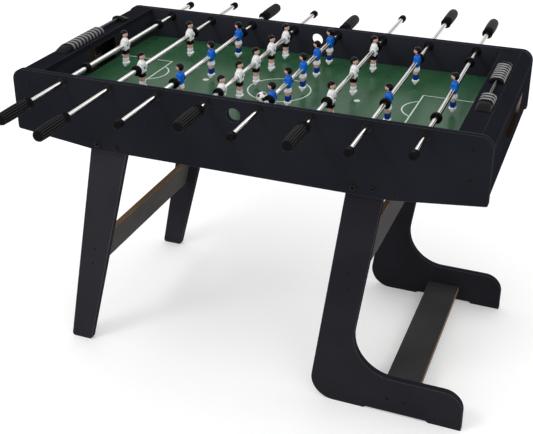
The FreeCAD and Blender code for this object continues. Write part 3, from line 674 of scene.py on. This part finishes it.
def handle_profile():
    """(radius, along) of a handle, from the rod's end to its domed tip."""
    points = [(6.5, 0), (9.5, 0)] + curve((9.5, -1.5), 1.5, 90, 0, 3) + [(11.2, -4)]
    points += curve((13.0, -6.4), 1.9, 80, -80, 6, 1.2)
    points += [(12.2, -9.6), (11.0, -12.5), (10.8, -16), (11.8, -20), (13.6, -24), (14.4, -26.5)]
    points += [(14.8 + 0.7 * math.sin(math.pi * share / 24), -28 - share * 3.35) for share in range(25)]
    points += [(14.7, -110)] + curve((6.7, -112.2), 8.0, 0, -80, 8, 1.1)
    return points + [(4.0, -120.9), (3.4, -121.7), (2.0, -121.9), (0, -121.95)]


def cap_profile():
    """(radius, along) of the black cap on a rod's other end, from the rod to its tip."""
    return ([(6.5, -21), (9.6, -21), (10.3, -20.3), (10.3, -16.5), (9.4, -15.8), (9.4, -14.6), (10.2, -14)]
            + [(10.2, -5)] + curve((6.2, -4.2), 4.0, 0, 90, 6) + [(3.0, -0.2), (2.4, -0.9), (0, -0.9)])


def bumper_profile():
    """(radius, along) of a rubber bumper with two ribs."""
    side = [(6.6, 4.5), (11.2, 4.5)] + curve((12.0, 3.0), 1.6, 80, -10, 5) + [(13.6, 1.9), (12.2, 1.0)]
    return side + [(12.2, 0)] + [(radius, -along) for radius, along in reversed(side)]


def rod_fittings(number):
    """The handle, cap and bumpers of one rod."""
    rod_low, rod_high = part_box(f"rod_{number}")
    low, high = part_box(f"handle_and_cap_{number}")
    x, z = (rod_low.x + rod_high.x) / 2, (rod_low.z + rod_high.z) / 2
    mesh = bmesh.new()
    if number in WHITE_RODS:
        grip = at(x, low.y + GRIP_LENGTH * MM, z)
        tip = at(x, high.y, z)
    else:
        grip = at(x, high.y - GRIP_LENGTH * MM, z, 180)
        tip = at(x, low.y, z, 180)
    lathe(mesh, handle_profile(), grip, 144, flute, ridge_highlight_paint)
    lathe(mesh, cap_profile(), tip, 32)
    piece(f"handle_{number}", mesh, f"rod_{number}_spin", ["handle", "handle_ridge_highlight"],
          [f"handle_and_cap_{number}"], 50)
    stops = bmesh.new()
    stop_low, stop_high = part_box(f"bumpers_{number}")
    for y in (stop_low.y + BUMPER_HALF, stop_high.y - BUMPER_HALF):
        lathe(stops, bumper_profile(), at(x, y, z), 48)
    piece(f"bumper_pair_{number}", stops, f"rod_{number}_slide", ["bumper"],
          [f"bumpers_{number}"])


# --- Playing men ---------------------------------------------------------------------------

MAN_HALF_WIDTH = 0.0125
SHIRT, SHORTS, SKIN, HAIR, SOCK, SHOE, BLACK, COLLAR = range(8)
TEAM = {
    "white": ["white_shirt", "black_paint", "skin", "hair", "white_shirt", "white_shirt", "black_paint",
              "white_shirt"],
    "blue": ["blue_shirt", "white_shirt", "skin", "hair", "blue_sock", "white_shirt", "black_paint", "blue_sock"],
}


def man(mesh, place, team):
    """One moulded figure around its rod, facing local +X. Heights from the rod's axis, in mm."""
    waist, hem, knee, ankle = (-13.5, -25, -37, -50) if team == "white" else (-13, -24.5, -33.5, -50)
    trunk = [(waist, 7.0, 9.6, 0, 0, 2.8), (waist + 0.8, 8.0, 10.6, 0, 0, 2.7), (-6, 8.3, 11.0, 0, 0, 2.5),
             (2, 8.7, 11.4, 0, 0, 2.4), (9, 9.0, 11.9, 0.3, 0, 2.4), (13.5, 8.3, 11.7, 0.2, 0, 2.4),
             (16.8, 6.8, 9.8, -0.2, 0, 2.3), (19.0, 5.2, 6.8, -0.4, 0, 2.1), (20.2, 4.4, 5.0, -0.2, 0, 2.0)]
    loft(mesh, trunk, place, 28, SHIRT)
    loft(mesh, [(18.5, 4.7, 5.6, 0.1, 0, 2.0), (19.4, 5.4, 6.0, 0.1, 0, 2.0), (20.8, 4.9, 5.3, 0.2, 0, 2.0),
                (21.2, 4.0, 4.4, 0.2, 0, 2.0)], place, 24, COLLAR)
    for side in (-1, 1):
        arm = [(-11.5, 2.6, 1.2, 5.2, side * 10.5, 2.0), (-9.5, 3.6, 1.8, 4.4, side * 10.7, 2.0),
               (-5, 4.3, 2.0, 1.6, side * 10.9, 2.0), (0, 5.0, 2.1, -1.4, side * 10.9, 2.0),
               (4.5, 5.2, 2.2, -3.0, side * 10.8, 2.0), (9, 5.2, 2.4, -3.0, side * 10.5, 2.0),
               (13, 4.9, 2.7, -2.0, side * 9.8, 2.0), (16.2, 3.4, 2.3, -1.2, side * 8.9, 2.0),
               (17.6, 1.8, 1.3, -0.9, side * 8.2, 2.0)]
        loft(mesh, arm, place, 20, SHIRT)
        hand = place @ at(5.8 * MM, side * 10.2 * MM, -12.2 * MM)
        dome(mesh, hand, (2.5, 1.5, 2.3), SHIRT, 14, 8)
    hips = [(hem - 0.2, 7.4, 9.6, 0, 0, 3.0), (hem + 0.5, 9.2, 11.0, 0, 0, 3.0), (hem + 3, 9.4, 11.1, 0, 0, 2.9),
            ((waist + hem) / 2, 8.8, 10.8, 0, 0, 2.7), (waist - 0.6, 8.1, 10.2, 0, 0, 2.6),
            (waist + 0.6, 7.4, 9.6, 0, 0, 2.6)]
    loft(mesh, hips, place, 28, SHORTS)
    for side in (-1, 1):
        thigh = [(knee - 1.0, 5.6, 4.0, 0.2, side * 4.3, 2.3), (knee + 2, 6.0, 4.3, 0.3, side * 4.5, 2.3),
                 ((knee + hem) / 2, 6.3, 4.7, 0.2, side * 4.8, 2.3), (hem + 1, 6.8, 5.0, 0, side * 5.0, 2.3)]
        loft(mesh, thigh, place, 20, SKIN)
        shin = [(ankle - 1, 6.0, 4.1, -0.1, side * 4.4, 2.4), (ankle + 3, 6.3, 4.2, 0, side * 4.5, 2.4),
                ((knee + ankle) / 2, 6.9, 4.5, -0.2, side * 4.6, 2.3), (knee - 1.6, 7.0, 4.5, 0, side * 4.6, 2.3),
                (knee - 0.2, 6.6, 4.3, 0, side * 4.5, 2.3), (knee + 0.1, 5.6, 3.8, 0, side * 4.4, 2.3)]
        loft(mesh, shin, place, 20, SOCK)
    toe = [(-61.5, 1.6, 7.6, 0, 0, 3.4), (-60.9, 2.6, 8.3, 0, 0, 3.6), (-58.0, 5.0, 8.9, 0.1, 0, 3.8),
           (-54.5, 7.7, 9.4, 0.3, 0, 3.8), (-51.6, 9.4, 9.7, 0.5, 0, 3.6), (-50.0, 9.6, 9.6, 0.5, 0, 3.4),
           (-48.8, 8.6, 9.2, 0.4, 0, 3.0), (-47.9, 6.6, 8.4, 0.2, 0, 2.8)]
    loft(mesh, toe, place, 32, SHOE)
    for side in (-1, 1):
        boss = place @ at(0, side * 11.4 * MM, 0, 90 if side > 0 else -90, "X") @ at(0, 0, -1 * MM)
        loft(mesh, [(-3, 9.0, 9.0, 0, 0, 2.0), (-0.6, 8.8, 8.8, 0, 0, 2.0), (0, 8.2, 8.2, 0, 0, 2.0)], boss, 28,
             SHIRT)
    neck = [(18.6, 3.9, 4.1, 0, 0, 2), (23.5, 3.5, 3.7, 0.2, 0, 2), (27, 3.5, 3.6, 0.4, 0, 2)]
    loft(mesh, neck, place, 16, SKIN)
    dome(mesh, place @ at(1.0 * MM, 0, 30.6 * MM), (8.4, 7.9, 9.2), SKIN, 28, 14)
    dome(mesh, place @ at(9.3 * MM, 0, 29.2 * MM), (1.8, 1.2, 1.7), SKIN, 12, 6)
    dome(mesh, place @ at(7.8 * MM, 0, 25.4 * MM), (1.5, 2.2, 0.6), SKIN, 12, 6)
    for side in (-1, 1):
        dome(mesh, place @ at(0.4 * MM, side * 8.0 * MM, 29.2 * MM), (1.9, 1.1, 2.4), SKIN, 12, 6)
        dome(mesh, place @ at(8.5 * MM, side * 2.9 * MM, 31.0 * MM), (0.7, 1.1, 0.85), BLACK, 12, 6)
        dome(mesh, place @ at(8.2 * MM, side * 3.0 * MM, 33.2 * MM), (0.7, 1.8, 0.5), HAIR, 12, 6)
    hair = place @ at(-0.4 * MM, 0, 31.6 * MM) @ Matrix.Rotation(math.radians(-15), 4, "Y")
    dome(mesh, hair, (10.2, 9.4, 9.7), HAIR, 32, 10, 2, 90)
    dome(mesh, place @ at(-3.2 * MM, 0, 29.4 * MM), (6.8, 8.5, 7.4), HAIR, 28, 12)
    screw = place @ at(8.7 * MM, 0, -0.5 * MM, 90, "Z")
    head(mesh, screw, 3.0, 0.7, cross_recess, 0.6, 24, 8)
    for face_on in mesh.faces:
        if all((vertex.co - screw.translation).length < 0.0034 for vertex in face_on.verts):
            face_on.material_index = BLACK


def men(number):
    """All the figures of one rod, evenly spaced."""
    low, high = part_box(f"men_{number}")
    rod_low, rod_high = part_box(f"rod_{number}")
    x, z = (rod_low.x + rod_high.x) / 2, (rod_low.z + rod_high.z) / 2
    count = MEN_ON_ROD[number]
    first, last = low.y + MAN_HALF_WIDTH, high.y - MAN_HALF_WIDTH
    team = "white" if number in WHITE_RODS else "blue"
    mesh = bmesh.new()
    for place_number in range(count):
        share = place_number / (count - 1) if count > 1 else 0.5
        man(mesh, at(x, first + (last - first) * share, z, 0 if number in WHITE_RODS else 180), team)
    piece(f"men_on_rod_{number}", mesh, f"rod_{number}_spin", TEAM[team], [f"men_{number}"],
          60, 1)


# --- Score counters ------------------------------------------------------------------------

BEAD_HALF_WIDTH, BEAD_HEIGHT, BEAD_FOOT = 18.9, 15.9, 0.4  # in mm
BEAD_HIGHLIGHT_HEIGHT = 15.4         # from this height up, a bead is painted pale as a painted highlight, in mm
BEAD_GAP = 0.0005
BRACKET_LENGTH = 38       # in mm
BRACKET_HALF_WIDTH = 0.019

def arch_section(y, width, top, base, bulge=2.7, steps=28):
    """A low arch across the end rail at y, from one foot to the other."""
    points = []
    for step in range(steps + 1):
        turn = math.pi * step / steps
        across, up = math.cos(turn), math.sin(turn)
        points.append(Vector((width * math.copysign(abs(across) ** (2 / bulge), across), y,
                              base + (top - base) * up ** (2 / bulge))))
    return points


def arch_skin(mesh, place, sections, crest=1e9):
    """A closed skin over arches given as (y, half width, top, base), in mm.

    Between two arches whose tops reach crest, the faces take the second material, a painted highlight.
    """
    rows = [ring(mesh, [place @ (point * MM) for point in arch_section(*section)]) for section in sections]
    for number, (lower, upper) in enumerate(zip(rows, rows[1:])):
        bridge(mesh, lower, upper, 1 if min(sections[number][2], sections[number + 1][2]) >= crest else 0)
    for end in (rows[0], rows[-1]):
        mesh.faces.new(end)


def bead_sections(length):
    """A sliding score bead: one broad rib with a fine groove along its crest."""
    half = length / 2
    shape = [(half, 0.70), (half - 0.4, 0.80), (half - 1.1, 0.89), (half - 2.2, 0.955), (half - 3.4, 0.99),
             (half - 4.6, 1.0), (half - 6.2, 0.995), (half - 7.0, 0.98)]
    shape += [(0.0, 0.975)] + [(-y, share) for y, share in reversed(shape)]
    return [(y, BEAD_HALF_WIDTH * (0.5 + 0.5 * share), BEAD_HEIGHT * share, BEAD_FOOT) for y, share in shape]


def bead_row(node, body, count):
    """The beads of one group, side by side."""
    low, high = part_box(node)
    x, base = (low.x + high.x) / 2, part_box("score_brackets")[0].z
    length = (high.y - low.y - (count - 1) * BEAD_GAP) / count
    mesh = bmesh.new()
    for number in range(count):
        y = low.y + length / 2 + number * (length + BEAD_GAP)
        # each bead's top is painted pale, as a painted highlight
        arch_skin(mesh, at(x, y, base), bead_sections(length / MM), BEAD_HIGHLIGHT_HEIGHT)
    piece(f"{node}_ribbed", mesh, body, ["score", "score_crest_highlight"], [node], 60)


def brackets():
    """Ramped end blocks that hold the score rods, each with two ribs where the beads stop."""
    mesh = bmesh.new()
    low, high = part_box("score_brackets")
    outer = high.y / MM
    inner = outer - BRACKET_LENGTH
    for x_side in (-1, 1):
        x = x_side * (high.x - BRACKET_HALF_WIDTH)
        for turn in (0, 180):
            sections = [(inner, 16.5, 12.6)]
            for rib in (0, 5.4):
                sections += [(inner + rib + 0.6, 17.6, 14.0), (inner + rib + 1.5, 18.7, 15.4),
                             (inner + rib + 2.6, 18.9, 15.95), (inner + rib + 3.7, 18.7, 15.4),
                             (inner + rib + 4.6, 17.6, 14.0), (inner + rib + 5.1, 17.2, 13.0)]
            for step in range(9):
                share = step / 8
                sections.append((inner + 11.4 + 26 * share, 18.3 - 1.2 * share ** 3,
                                 14.4 - 11.0 * (1 - math.cos(share * math.pi / 2)) ** 0.8))
            sections.append((outer - 0.05, 16.4, 1.2))
            arch_skin(mesh, at(x, 0, low.z, turn), [(y, width, top, 0.05) for y, width, top in sections])
    piece("score_bracket_covers", mesh, "table", ["score"], ["score_brackets"])


# --- Ball ----------------------------------------------------------------------------------


def ball():
    """A ball of twelve black five-sided patches between white ones."""
    low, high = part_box("ball")
    centre = (low + high) / 2
    radius = (high.z - low.z) / 2
    mesh = bmesh.new()
    bmesh.ops.create_icosphere(mesh, subdivisions=1, radius=radius)
    third = 33.33  # per cent of an edge, which leaves six-sided faces between five-sided ones
    bmesh.ops.bevel(mesh, geom=mesh.verts[:], offset=third, offset_type="PERCENT", affect="VERTICES")
    for face in mesh.faces:
        face.material_index = 1 if len(face.verts) == 5 else 0
    bmesh.ops.inset_individual(mesh, faces=mesh.faces[:], thickness=radius * 0.02)
    patches = [face for face in mesh.faces if len(face.verts) > 4]
    bmesh.ops.poke(mesh, faces=patches)
    bmesh.ops.subdivide_edges(mesh, edges=mesh.edges[:], cuts=3, use_grid_fill=True)
    for vertex in mesh.verts:
        vertex.co = vertex.co.normalized() * radius
    for face in mesh.faces:
        face.smooth = True
    spin = Matrix.Rotation(0.5, 4, Vector((0.4, 1, 0.3)))
    bmesh.ops.transform(mesh, matrix=Matrix.Translation(centre) @ spin, verts=mesh.verts)
    piece("ball_patches", mesh, "ball", ["ball_white", "ball_black"], ["ball"], 80)


# --- Stage ---------------------------------------------------------------------------------

# the dark curtain covers the directions between these limits, each fading in from the first to the second number
CURTAIN = (("X", 0.06, 0.16), ("Y", 0.45, 0.6), ("Z", 0.23, 0.27), ("Z", 0.46, 0.42))
CURTAIN_COLOR = (0.05, 0.03, 0.02, 1)
# name, place, target, size in metres, watts
LAMPS = (("key", (-1.4, -2.4, 3.2), (0, 0, 0.7), 0.9, 26), ("fill", (2.2, -2.6, 2.4), (0, 0, 0.6), 0.7, 6),
         ("rim", (0.4, 2.8, 2.8), (0, 0, 0.7), 1.4, 6))
CAMERA_PLACE = (0.8380, -2.2082, 1.6240)
CAMERA_TURN, CAMERA_TILT, CAMERA_ROLL = 21.598, 24.946, -0.114  # degrees
CAMERA_LENS, CAMERA_SHIFT = 64.94, -0.1163

def stage():
    """A wide pale floor, a bright room with one dark curtain behind on the right, and soft lamps."""
    floor_half = 14
    mesh = bmesh.new()
    bmesh.ops.create_grid(mesh, x_segments=8, y_segments=8, size=floor_half)
    data = bpy.data.meshes.new("studio_floor")
    mesh.to_mesh(data)
    mesh.free()
    data.materials.append(MATERIAL["backdrop"])
    floor = bpy.data.objects.new("studio_floor", data)
    bpy.context.scene.collection.objects.link(floor)
    world = bpy.data.worlds.new("studio")
    bpy.context.scene.world = world
    world.use_nodes = True
    nodes, links = world.node_tree.nodes, world.node_tree.links
    nodes["Background"].inputs["Strength"].default_value = 1.0
    direction = nodes.new("ShaderNodeSeparateXYZ")
    links.new(nodes.new("ShaderNodeTexCoord").outputs["Generated"], direction.inputs[0])
    shade = None
    for axis, low, high in CURTAIN:
        step = nodes.new("ShaderNodeMapRange")
        step.inputs["From Min"].default_value = low
        step.inputs["From Max"].default_value = high
        links.new(direction.outputs[axis], step.inputs["Value"])
        if shade is None:
            shade = step.outputs["Result"]
        else:
            both = nodes.new("ShaderNodeMath")
            both.operation = "MULTIPLY"
            links.new(shade, both.inputs[0])
            links.new(step.outputs["Result"], both.inputs[1])
            shade = both.outputs[0]
    tint = nodes.new("ShaderNodeMix")
    tint.data_type = "RGBA"
    links.new(shade, tint.inputs[0])
    tint.inputs[6].default_value = (1, 1, 1, 1)
    tint.inputs[7].default_value = CURTAIN_COLOR
    links.new(tint.outputs[2], nodes["Background"].inputs["Color"])
    for settings in LAMPS:
        lamp(*settings)


def lamp(name, place, target, size, watts):
    """An oblong soft lamp aimed at a target."""
    light = bpy.data.lights.new(name, "AREA")
    light.energy = watts
    light.shape = "RECTANGLE"
    light.size = size
    light.size_y = size * 0.6
    thing = bpy.data.objects.new(name, light)
    thing.location = place
    thing.rotation_mode = "QUATERNION"
    thing.rotation_quaternion = (Vector(target) - Vector(place)).to_track_quat("-Z", "Y")
    bpy.context.scene.collection.objects.link(thing)


def camera():
    """The camera stands in front and to the right, above the table, tilted a little."""
    turn, tilt, roll = (math.radians(angle) for angle in (CAMERA_TURN, CAMERA_TILT, CAMERA_ROLL))
    forward = Vector((-math.sin(turn) * math.cos(tilt), math.cos(turn) * math.cos(tilt), -math.sin(tilt)))
    level = Vector((math.cos(turn), math.sin(turn), 0))
    upright = level.cross(forward)
    right = level * math.cos(roll) + upright * math.sin(roll)
    up = upright * math.cos(roll) - level * math.sin(roll)
    data = bpy.data.cameras.new("camera")
    data.sensor_width = 36
    data.lens = CAMERA_LENS
    data.shift_y = CAMERA_SHIFT
    thing = bpy.data.objects.new("camera", data)
    thing.matrix_world = Matrix.Translation(CAMERA_PLACE) @ Matrix((right, up, -forward)).transposed().to_4x4()
    bpy.context.scene.collection.objects.link(thing)
    bpy.context.scene.camera = thing


field_markings()
fasteners()
bushings()
for rod_number in MEN_ON_ROD:
    rod_fittings(rod_number)
    men(rod_number)
bead_row("score_beads_left", "score_left", 10)
bead_row("score_beads_right_near", "score_right_near", 3)
bead_row("score_beads_right_far", "score_right_far", 7)
brackets()
ball()
stage()
camera()
bpy.context.scene.view_settings.view_transform = "Standard"
